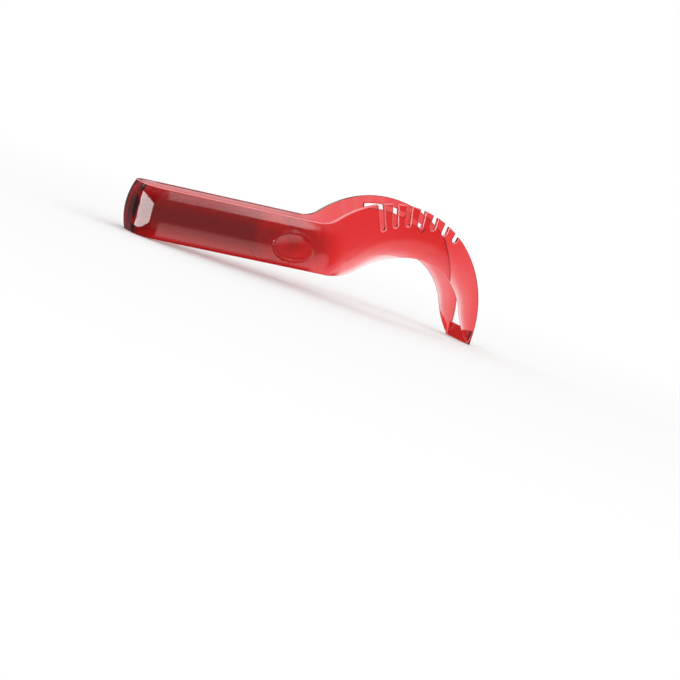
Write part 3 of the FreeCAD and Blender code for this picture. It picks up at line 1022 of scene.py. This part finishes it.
    def bevel_share(self, flat: Points) -> Points:
        """Return how far places are up the bevel, from 0 at the knife edge to 1 above it."""
        knife, bevel = self.lines["knife"], self.lines["bevel"]
        low, high = distance(flat, knife), distance(flat, bevel)
        full = inside(flat, self.lines["flat_part"])
        return np.where(full, 1.0, low / np.maximum(low + high, 1e-9))

    def thickness(self, flat: Points) -> Points:
        """Return the wall's thickness, thinned by the bevel towards the knife edge."""
        share = 1 - (1 - self.bevel_share(flat)) ** self.bevel_power
        edge = self.edge_share(flat[:, 0])
        return self.strip.wall - (self.strip.wall - self.edge_wall) * edge * (1 - share)

    def edge_share(self, along: Points) -> Points:
        """Return how far the lower edge has thinned at a place along the arm."""
        return smooth(*self.bevel_fade, along)

    def dome(self, flat: Points) -> Points:
        """Return how far the end of the handle's bulge stands out of the arm."""
        share = smooth(self.strip.valley[0] + self.fade, self.strip.valley[0], flat[:, 0])
        level = self.handle.bulge(flat[:, 1]) / self.strip.handle_bulge
        power = 2 - share
        return self.strip.handle_bulge * np.maximum(level, 0) ** power * share

    def depth(self, flat: Points) -> Points:
        """Return the plastic that light crosses on an arm's faces."""
        share, wall = grip_share(flat[:, 0]), self.strip.wall
        places = np.array(self.bevel_tint)
        bevel = np.interp(self.bevel_share(flat), places[:, 0], places[:, 1] * MM)
        bevel = bevel + self.front_tint * stretch(self.front_reach, flat[:, 0])
        bevel = np.maximum(bevel, self.crest_tint * stretch(self.crest_reach, flat[:, 0]))
        arm = wall - (wall - bevel) * self.edge_share(flat[:, 0])
        return arm * (1 - share) + self.handle.depth(flat[:, 1]) * share

    def rounding(self, line: Points, from_knife: Points) -> Points:
        """Return the radius of the rims' corners, which is small at the knife edge.

        Args:
            line: The arm's outline.
            from_knife: Its distance from the knife edge.

        Returns:
            The radius at each point.
        """
        plain = self.strip.rim_round
        limit = plain + (self.edge_round - plain) * self.edge_share(line[:, 0])
        from_back = distance(line, self.back_edge(False))
        radius = np.where(from_knife < self.knife_reach,
                          np.minimum(limit, self.round_share * from_back),
                          np.minimum(plain, self.round_share * from_knife))
        radius[0] = radius[-1] = plain
        return np.maximum(radius, self.least_round)

    def build(self, side: Side) -> Piece:
        """Build one arm, from the shoulder to its tip.

        Args:
            side: Which arm.

        Returns:
            The arm.
        """
        strip, comb = self.strip, side is Side.NEAR
        knife, bevel = self.knife_edge(), self.bevel_line()
        self.lines = {"knife": knife, "bevel": bevel,
                      "flat_part": np.concatenate([bevel, self.back_edge(False)[1:]])}
        plate = Plate(
            outer=lambda flat: strip.inner_face + self.thickness(flat) + self.dome(flat),
            inner=lambda flat: np.full(len(flat), strip.inner_face),
            side=side, depth=lambda flat: self.depth(flat) * (1 if comb else self.far_depth),
            highlight_steps=self.highlight_steps)
        line = round_corners(join(knife, self.back_edge(comb)), self.tooth_round)
        from_knife = distance(line, knife)
        # Painted highlight on the near arm's upper rim, back from the tip, and on its level tops.
        painted_highlight = (from_knife > self.knife_reach) & (line[:, 0] < self.highlight_reach) & comb
        level = -inward(line, False)[:, 1] > self.highlight_level
        outline = plate.rim(line, self.rounding(line, from_knife), False, painted_highlight, painted_highlight & level)
        loops = [[outline, Run(columns(strip.valley[0], self.handle.end_levels()[::-1]))]]
        for window in () if comb else self.windows:
            edge = self.window(*window)
            loops.append([plate.rim(edge, np.full(len(edge), strip.rim_round), True)])
        shapes = [np.concatenate([run.flat for run in loop]) for loop in loops]
        plate.fill(loops, scatter(shapes[0], shapes[1:], self.face_step, self.face_margin))
        name = side.name.lower()
        piece = plate.skin.finish(name + "_arm_moulding")
        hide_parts(name + "_arch", name + "_leg")
        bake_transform(piece)
        return piece


def crest_arc(level: Points, far: Points, step: float) -> Points:
    """Sample the round edge that leaves a level crest and reaches a far point below it."""
    drop, reach = level[1] - far[1], far[0] - level[0]
    radius = (reach**2 + drop**2) / (2 * drop)
    centre = level - np.array([0, radius])
    return arc(centre, radius, 90, angle_of(far, centre), step)


@dataclass
class CutterBar:
    """The bar between the tips: square at its top, sharp at the foot that cuts."""

    strip: Strip = STRIP
    height: float = 9.4 * MM
    back: float = 0.2 * MM
    top: float = 2.0 * MM
    edge: float = 0.5 * MM
    rounding: float = 0.25 * MM
    gap: float = 0.05 * MM
    step: float = 1.0 * MM
    rows: int = 15
    highlight_level: float = 0.5
    # Partly painted shade: the bar is tinted as if light crossed five walls, darker than its own
    # thickness would make it.
    depth: float = 15.0 * MM

    def section(self) -> Points:
        """Return the bar's closed outline in side view, with its plastic on the left."""
        strip = self.strip
        rise = strip.tip_drop - strip.hump_drop
        turn = math.degrees(math.asin((rise - self.height) / strip.hump_radius))
        back_top = strip.on_hump(-turn, self.back)
        back_foot = strip.on_floor(strip.tip[0] - self.back)
        front_foot = strip.on_floor(back_foot[0] - self.edge)
        corners = np.array([back_foot, back_top, back_top - np.array([self.top, 0]), front_foot])
        sides = [straight(corners[n], corners[(n + 1) % 4], self.step) for n in range(4)]
        line = np.concatenate([side[:-1] for side in sides] + [sides[0][:2]])
        return round_corners(line, self.rounding)[1:-1]

    def build(self) -> Piece:
        """Build the bar."""
        loop = self.section()
        ways = -inward(loop, True)
        # Painted highlight on the bar's upward-facing faces.
        painted_highlight = ways[:, 1] > self.highlight_level
        reach = self.strip.inner_face - self.gap
        skin, before = Skin(), None
        for across in np.linspace(-reach, reach, self.rows):
            row = skin.add(columns(loop[:, 0], across, loop[:, 1]),
                           columns(ways[:, 0], 0.0, ways[:, 1]), self.depth)
            if before is not None:
                skin.lace(before, row, True, painted_highlight)
            before = row
        for end in (-1.0, 1.0):
            out = np.tile([0.0, end, 0.0], (len(loop), 1))
            skin.face(skin.add(columns(loop[:, 0], end * reach, loop[:, 1]), out, self.depth))
        piece = skin.finish("cutter_bar_moulding")
        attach(piece, "crossbar")
        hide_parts("cutter_bar")
        return piece


# Finishes


MIX_SOCKETS = {"FLOAT": (2, 3, 0), "RGBA": (6, 7, 2)}  # Both values' inputs and the output.


def plug(tree: Tree, value: Value, socket: Socket) -> None:
    """Link a socket's value to an input, or set a plain one there."""
    if isinstance(value, Socket):
        tree.links.new(value, socket)
    elif value is not None:
        socket.default_value = value


def math_node(tree: Tree, operation: str, first: Value, second: Value = None) -> Socket:
    """Add a node of plain arithmetic.

    Args:
        tree: The tree that it goes in.
        operation: Blender's name of the operation.
        first: A socket or a number.
        second: Another, if the operation takes two.

    Returns:
        The node's result.
    """
    node = tree.nodes.new("ShaderNodeMath")
    node.operation = operation
    plug(tree, first, node.inputs[0])
    plug(tree, second, node.inputs[1])
    return node.outputs[0]


def ramp_node(tree: Tree, value: Socket, low: Pair, high: Pair) -> Socket:
    """Add a node that leads smoothly from one value to another.

    Args:
        tree: The tree that it goes in.
        value: What is mapped.
        low: A value and its result.
        high: Another value and its result.

    Returns:
        The node's result.
    """
    node = tree.nodes.new("ShaderNodeMapRange")
    node.interpolation_type = "SMOOTHSTEP"
    tree.links.new(value, node.inputs["Value"])
    node.inputs["From Min"].default_value, node.inputs["To Min"].default_value = low
    node.inputs["From Max"].default_value, node.inputs["To Max"].default_value = high
    return node.outputs["Result"]


def mix_node(tree: Tree, kind: str, share: Socket, first: Value, second: Value) -> Socket:
    """Add a node that mixes two values.

    Args:
        tree: The tree that it goes in.
        kind: Blender's name of what is mixed.
        share: How much of the second value is in the mix.
        first: A value where the share is 0.
        second: A value where the share is 1.

    Returns:
        The node's result.
    """
    node = tree.nodes.new("ShaderNodeMix")
    node.data_type = kind
    low, high, result = MIX_SOCKETS[kind]
    plug(tree, share, node.inputs[0])
    plug(tree, first, node.inputs[low])
    plug(tree, second, node.inputs[high])
    return node.outputs[result]


def attribute_node(tree: Tree, name: str) -> Socket:
    """Add a node that reads a number of the mesh's points."""
    node = tree.nodes.new("ShaderNodeAttribute")
    node.attribute_name = name
    return node.outputs["Fac"]


def noise_node(tree: Tree, scale: float, detail: float) -> Socket:
    """Add cloudy noise that stays with the object."""
    place = tree.nodes.new("ShaderNodeTexCoord")
    node = tree.nodes.new("ShaderNodeTexNoise")
    tree.links.new(place.outputs["Object"], node.inputs["Vector"])
    node.inputs["Scale"].default_value = scale
    node.inputs["Detail"].default_value = detail
    return node.outputs["Fac"]


def new_group(name: str, inputs: dict[str, str], outputs: dict[str, str]
              ) -> tuple[Tree, Node, Node]:
    """Start a node group.

    Args:
        name: Its name.
        inputs: Its inputs, as names and kinds.
        outputs: Its outputs, likewise.

    Returns:
        The group, the node that gives its inputs and the one that takes its outputs.
    """
    tree = bpy.data.node_groups.new(name, "ShaderNodeTree")
    for way, sockets in (("INPUT", inputs), ("OUTPUT", outputs)):
        for label, kind in sockets.items():
            tree.interface.new_socket(name=label, in_out=way, socket_type="NodeSocket" + kind)
    return tree, tree.nodes.new("NodeGroupInput"), tree.nodes.new("NodeGroupOutput")


def new_material(name: str) -> tuple[Material, Node]:
    """Start a material and return it with its shader."""
    material = bpy.data.materials.new(name)
    material.use_nodes = True
    return material, material.node_tree.nodes["Principled BSDF"]


@dataclass
class Effects:
    """Node groups that the finishes share.

    Args:
        wall: Plain thickness of the plastic that the tints are given for.
        cloud: Scale and detail of the cloudy handling marks.
        wave: Scale and detail of the moulded skin's waves.
        cloud_spread: The noise's low and high values, and how rough the plastic is there.
        tint: The tint that deepens with the plastic.
        wear: The handling marks.
    """

    wall: float = STRIP.wall
    cloud: Pair = (60.0, 3.0)
    wave: Pair = (90.0, 1.0)
    cloud_spread: tuple[Pair, ...] = ((0.3, 0.7), (0.7, 1.5))
    tint: Tree | None = None
    wear: Tree | None = None

    def build(self) -> "Effects":
        """Build the groups."""
        self.tint = self.build_tint()
        self.wear = self.build_wear()
        return self

    def build_tint(self) -> Tree:
        """Build the tint that deepens with the plastic that light crosses, with the painted shade
        and highlight carried in that depth and the painted grip shade.
        """
        tree, source, result = new_group(
            "tint_by_depth_and_shade",
            {"One Wall Colour": "Color", "One Grip Wall Colour": "Color",
             "Grip Shade": "Float", "Gloss": "Float"},
            {"Colour": "Color", "Bare Gloss": "Float"})
        nodes, links = tree.nodes, tree.links
        grip = attribute_node(tree, "grip_share")
        walls = math_node(tree, "DIVIDE", attribute_node(tree, "depth_with_painted_light"), self.wall)
        lost = math_node(tree, "SUBTRACT", 1.0, source.outputs["Grip Shade"])
        shade = math_node(tree, "SUBTRACT", 1.0, math_node(tree, "MULTIPLY", grip, lost))
        split, merge = nodes.new("ShaderNodeSeparateColor"), nodes.new("ShaderNodeCombineColor")
        links.new(mix_node(tree, "RGBA", grip, source.outputs["One Wall Colour"],
                           source.outputs["One Grip Wall Colour"]), split.inputs["Color"])
        for channel in ("Red", "Green", "Blue"):
            power = math_node(tree, "POWER", split.outputs[channel], walls)
            links.new(math_node(tree, "MULTIPLY", power, shade), merge.inputs[channel])
        links.new(merge.outputs["Color"], result.inputs["Colour"])
        bare = math_node(tree, "SUBTRACT", 1.0, grip)
        links.new(math_node(tree, "MULTIPLY", bare, source.outputs["Gloss"]),
                  result.inputs["Bare Gloss"])
        return tree

    def build_wear(self) -> Tree:
        """Build the faint handling marks: cloudy roughness and a slightly wavy skin."""
        tree, source, result = new_group("handling_marks", {"Plain Roughness": "Float"},
                                         {"Roughness": "Float", "Height": "Float"})
        spread = ramp_node(tree, noise_node(tree, *self.cloud), *self.cloud_spread)
        tree.links.new(math_node(tree, "MULTIPLY", source.outputs["Plain Roughness"], spread),
                       result.inputs["Roughness"])
        tree.links.new(noise_node(tree, *self.wave), result.inputs["Height"])
        return tree


@dataclass(frozen=True)
class Plastic:
    """Moulded plastic with faint handling marks, as the slicer's two finishes share it.

    Args:
        name: Name of the finish.
        clarity: Share of the light that the plastic doesn't scatter.
        roughness: Plain roughness of the surface.
        bending: How much the plastic bends light.
    """

    name: str
    clarity: float = 0.97
    roughness: float = 0.03
    bending: float = 1.5

    def start(self, effects: Effects) -> tuple[Material, Node, Node]:
        """Start the material.

        Args:
            effects: The shared effects.

        Returns:
            The material, its shader and its handling marks.
        """
        material, shader = new_material(self.name)
        shader.inputs["Metallic"].default_value = 0.0
        shader.inputs["Transmission Weight"].default_value = self.clarity
        shader.inputs["IOR"].default_value = self.bending
        tree = material.node_tree
        wear = tree.nodes.new("ShaderNodeGroup")
        wear.node_tree = effects.wear
        wear.inputs["Plain Roughness"].default_value = self.roughness
        tree.links.new(wear.outputs["Roughness"], shader.inputs["Roughness"])
        return material, shader, wear


@dataclass(frozen=True)
class ClearPlastic(Plastic):
    """Clear red plastic, tinted by the plastic that light crosses.

    Args:
        tint: Colour of light that has crossed one wall of plain thickness.
        grip_tint: The same in the handle.
        grip_shade: What the handle's smoky grip lets through, beside the plain tint.
        gloss: Extra gloss of the arms, beside the handle's.
        waviness: Strength of the slight waves in the moulded skin.
        wave_height: Height of these waves.
    """

    tint: tuple[float, float, float] = (0.885, 0.088, 0.094)
    # grip_shade: How far the handle's tint is darkened beside the plain tint, as painted shade.
    grip_tint: tuple[float, float, float] = (0.84, 0.065, 0.07)
    grip_shade: float = 0.84
    gloss: float = 0.15
    waviness: float = 0.02
    wave_height: float = 0.1 * MM

    def build(self, effects: Effects) -> Material:
        """Build the material from the shared effects."""
        material, shader, wear = self.start(effects)
        nodes, links = material.node_tree.nodes, material.node_tree.links
        tint = nodes.new("ShaderNodeGroup")
        tint.node_tree = effects.tint
        tint.inputs["One Wall Colour"].default_value = (*self.tint, 1)
        tint.inputs["One Grip Wall Colour"].default_value = (*self.grip_tint, 1)
        tint.inputs["Grip Shade"].default_value = self.grip_shade
        tint.inputs["Gloss"].default_value = self.gloss
        links.new(tint.outputs["Colour"], shader.inputs["Base Color"])
        links.new(tint.outputs["Bare Gloss"], shader.inputs["Coat Weight"])
        shader.inputs["Coat Roughness"].default_value = self.roughness
        bump = nodes.new("ShaderNodeBump")
        bump.inputs["Strength"].default_value = self.waviness
        bump.inputs["Distance"].default_value = self.wave_height
        links.new(wear.outputs["Height"], bump.inputs["Height"])
        links.new(bump.outputs["Normal"], shader.inputs["Normal"])
        return material


@dataclass(frozen=True)
class PaintedHighlightPlastic(Plastic):
    """Painted highlight: a lighter, mostly opaque pink finish on the slicer's upper rims.

    Args:
        colour: Colour of the painted highlight.
    """

    clarity: float = 0.1
    roughness: float = 0.08
    colour: tuple[float, float, float] = (1.0, 0.23, 0.24)

    def build(self, effects: Effects) -> Material:
        """Build the material from the shared effects."""
        material, shader, _ = self.start(effects)
        shader.inputs["Base Color"].default_value = (*self.colour, 1)
        return material


# Studio


@dataclass(frozen=True)
class SoftBox:
    """A bright flat box in the studio's reflections, with soft edges.

    Args:
        corners: Azimuth and elevation of its corners in degrees, round its edge. Azimuth 0 is
            the slicer's near side and 90 is ahead of it.
        strength: How bright it is, where 1 is white.
        soft: Widths of its soft edges in degrees, taken in turn round its edge.
    """

    corners: tuple[Pair, ...]
    strength: float
    soft: tuple[float, ...] = (2.0,)

    def add(self, tree: Tree, way: Socket) -> Socket:
        """Add the box's light to a node tree.

        Args:
            tree: The world's node tree.
            way: The direction that is looked up.

        Returns:
            The light from that direction.
        """
        places = [towards(*corner) for corner in self.corners]
        middle = sum(places, Vector())
        light = self.strength
        for first, second, soft in zip(places, places[1:] + places[:1], cycle(self.soft)):
            half = math.radians(soft) / 2
            across = first.cross(second).normalized()
            side = tree.nodes.new("ShaderNodeVectorMath")
            side.operation = "DOT_PRODUCT"
            side.inputs[1].default_value = across * math.copysign(1, across @ middle)
            tree.links.new(way, side.inputs[0])
            light = math_node(tree, "MULTIPLY", light, ramp_node(
                tree, side.outputs["Value"], (-half, 0), (half, 1)))
        return light


def towards(azimuth: float, elevation: float) -> Vector:
    """Return the level direction at an azimuth and an elevation in degrees."""
    a, e = math.radians(azimuth), math.radians(elevation)
    return Vector((math.sin(a) * math.cos(e), -math.cos(a) * math.cos(e), math.sin(e)))


@dataclass
class Studio:
    """Camera, pale floor and the lit room round the slicer.

    Args:
        aim: What the camera looks at, in the handle's frame along and up.
        azimuth: How far the camera's view is turned from straight across the handle, in degrees.
        elevation: How far it looks down in the photograph's level frame, in degrees.
        droop: How far the handle's nose is down in the photograph, in degrees.
        reach: Distance from the camera to its aim.
        lens: Focal length in millimetres.
        sensor: Width of the camera's film in millimetres.
        clip: Nearest and farthest distance that the camera sees.
        floor_side: Half the floor's width.
        floor_fade: How far from the middle the floor begins to fade and is white.
        floor_shade: How pale the floor is, where 1 is white.
        floor_roughness: How rough it is.
        dark: Brightness of the dark walls in the reflections.
        table: Brightness of the table in the reflections, at its far and near edge.
        table_edge: Elevations in degrees between which its far edge fades.
        shade_edge: Elevations in degrees between which its near edge fades.
        shade_side: How far forward directions lead, out of 1, between which its rear side fades.
        boxes: The soft boxes in the reflections.
    """

    aim: Pair = (169.73 * MM, -42.39 * MM)
    azimuth: float = 25.19
    elevation: float = 15.0
    droop: float = 16.4997
    reach: float = 1.5
    lens: float = 119.12
    sensor: float = 36.0
    clip: Pair = (0.05, 20.0)
    floor_side: float = 6.0
    floor_fade: Pair = (0.25, 0.7)
    floor_shade: float = 0.97
    floor_roughness: float = 0.9
    dark: float = 0.2
    table: Pair = (1.25, 1.9)
    table_edge: Pair = (-27.0, -18.5)
    shade_edge: Pair = (-51.0, -44.0)
    shade_side: Pair = (0.0, 0.2)
    boxes: tuple[SoftBox, ...] = (
        SoftBox(((-30, -25), (75, -25), (75, 20), (-30, 20)), 0.5, soft=(12.0,)),
        SoftBox(((28.5, 12.5), (33.0, 12.5), (40.4, 25), (35.6, 25)), 2.4, soft=(2.0, 0.3)),
        SoftBox(((30.1, 12.5), (33.0, 12.5), (40.4, 25), (37.2, 25)), 5.0,
                soft=(2.0, 0.3, 2.0, 4.5)),
        SoftBox(((-119.4, 31), (-28.4, 18.2), (-33.5, -2.0), (-104.5, 18)), 10.5),
        SoftBox(((-104.5, 18), (-28.4, 18.2), (-36.5, -12.5), (-104.5, 0)), 10.5),
        SoftBox(((-104.5, 0), (-28.4, 18.2), (-36.5, -12.5), (-119.3, -10.5)), 10.5),
        SoftBox(((40, 30), (85, 12), (135, 14), (215, 22), (-90, 52)), 1.3, soft=(8.0,)),
    )

    def turn(self) -> Matrix:
        """Return the turn from the photograph's level frame to the standing slicer's."""
        return Matrix.Rotation(-self.tilt(), 3, "Y")

    def tilt(self) -> float:
        """Return how far the standing slicer is turned from the photographed one."""
        return math.radians(self.droop) + STRIP.rest_pitch

    def build_camera(self) -> None:
        """Stand the camera where the photograph was taken from."""
        a, e = math.radians(self.azimuth), math.radians(self.elevation)
        level = Vector((math.sin(a) * math.cos(e), math.cos(a) * math.cos(e), -math.sin(e)))
        ahead = self.turn() @ level
        right = self.turn() @ Vector((math.cos(a), -math.sin(a), 0))
        data = bpy.data.cameras.new("camera")
        data.lens = self.lens
        data.sensor_width = self.sensor
        data.clip_start, data.clip_end = self.clip
        camera = linked("camera", data)
        aim = STANDING @ Vector((self.aim[0], 0, self.aim[1]))
        frame = Matrix((right, right.cross(ahead), -ahead)).transposed().to_4x4()
        frame.translation = aim - ahead * self.reach
        camera.matrix_world = frame
        bpy.context.scene.camera = camera

    def build_floor(self) -> None:
        """Lay the pale floor, which fades into the white room."""
        mesh = bpy.data.meshes.new("floor")
        side = self.floor_side
        mesh.from_pydata([(-side, -side, 0), (side, -side, 0), (side, side, 0), (-side, side, 0)],
                         [], [(0, 1, 2, 3)])
        floor = linked("floor", mesh)
        floor.visible_glossy = False
        material, shader = new_material("pale_floor")
        tree = material.node_tree
        shader.inputs["Base Color"].default_value = (*[self.floor_shade] * 3, 1)
        shader.inputs["Roughness"].default_value = self.floor_roughness
        shader.inputs["Specular IOR Level"].default_value = 0.0
        place = tree.nodes.new("ShaderNodeTexCoord")
        reach = tree.nodes.new("ShaderNodeVectorMath")
        reach.operation = "LENGTH"
        tree.links.new(place.outputs["Object"], reach.inputs[0])
        far = ramp_node(tree, reach.outputs["Value"], (self.floor_fade[0], 0),
                        (self.floor_fade[1], 1))
        room = tree.nodes.new("ShaderNodeEmission")
        mix = tree.nodes.new("ShaderNodeMixShader")
        tree.links.new(far, mix.inputs[0])
        tree.links.new(shader.outputs["BSDF"], mix.inputs[1])
        tree.links.new(room.outputs["Emission"], mix.inputs[2])
        tree.links.new(mix.outputs["Shader"], tree.nodes["Material Output"].inputs["Surface"])
        mesh.materials.append(material)

    def build_world(self) -> None:
        """Light the slicer from a white room, with boxes and dark walls in its reflections."""
        world = bpy.data.worlds.new("white_room")
        world.use_nodes = True
        tree = world.node_tree
        nodes, links = tree.nodes, tree.links
        place = nodes.new("ShaderNodeTexCoord")
        level = nodes.new("ShaderNodeMapping")
        level.vector_type = "VECTOR"
        level.inputs["Rotation"].default_value = (0, self.tilt(), 0)
        links.new(place.outputs["Generated"], level.inputs["Vector"])
        split = nodes.new("ShaderNodeSeparateXYZ")
        links.new(level.outputs["Vector"], split.inputs[0])
        elevation = math_node(tree, "DEGREES", math_node(tree, "ARCSINE", split.outputs["Z"]))
        floor = ramp_node(tree, elevation, (self.shade_edge[1], self.table[1]),
                          (self.table_edge[1], self.table[0]))
        below = ramp_node(tree, elevation, (self.table_edge[0], 1), (self.table_edge[1], 0))
        for value, (low, high) in ((elevation, self.shade_edge),
                                   (split.outputs["X"], self.shade_side)):
            below = math_node(tree, "MULTIPLY", below, ramp_node(tree, value, (low, 0), (high, 1)))
        light = math_node(tree, "ADD", self.dark, math_node(
            tree, "MULTIPLY", below, math_node(tree, "SUBTRACT", floor, self.dark)))
        for box in self.boxes:
            light = math_node(tree, "MAXIMUM", light, box.add(tree, level.outputs["Vector"]))
        path = nodes.new("ShaderNodeLightPath")
        mirrored = math_node(tree, "SUBTRACT", path.outputs["Is Glossy Ray"],
                             path.outputs["Is Transmission Ray"])
        links.new(mix_node(tree, "FLOAT", mirrored, 1.0, light),
                  nodes["Background"].inputs["Strength"])
        nodes["Background"].inputs["Color"].default_value = (1, 1, 1, 1)
        bpy.context.scene.world = world

    def build(self) -> None:
        """Build the whole studio."""
        self.build_camera()
        self.build_floor()
        self.build_world()
        bpy.context.scene.view_settings.view_transform = "Standard"


def main() -> None:
    """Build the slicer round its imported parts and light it."""
    logging.basicConfig(level=logging.INFO, format="%(name)s: %(message)s")
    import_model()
    effects = Effects().build()
    plastics = [ClearPlastic("clear_red_plastic").build(effects),
                PaintedHighlightPlastic("painted_highlight_rim").build(effects)]
    handle = Handle()
    arms = Arms(handle=handle)
    pieces = [handle.build_bow()]
    pieces += [handle.build_wall(side) for side in Side]
    pieces += [arms.build(side) for side in Side]
    pieces.append(CutterBar().build())
    for piece in pieces:
        for plastic in plastics:
            piece.data.materials.append(plastic)
        LOG.info("%s: %d faces", piece.name, len(piece.data.polygons))
    Studio().build()
    bpy.context.view_layer.update()


if __name__ == "__main__":
    main()
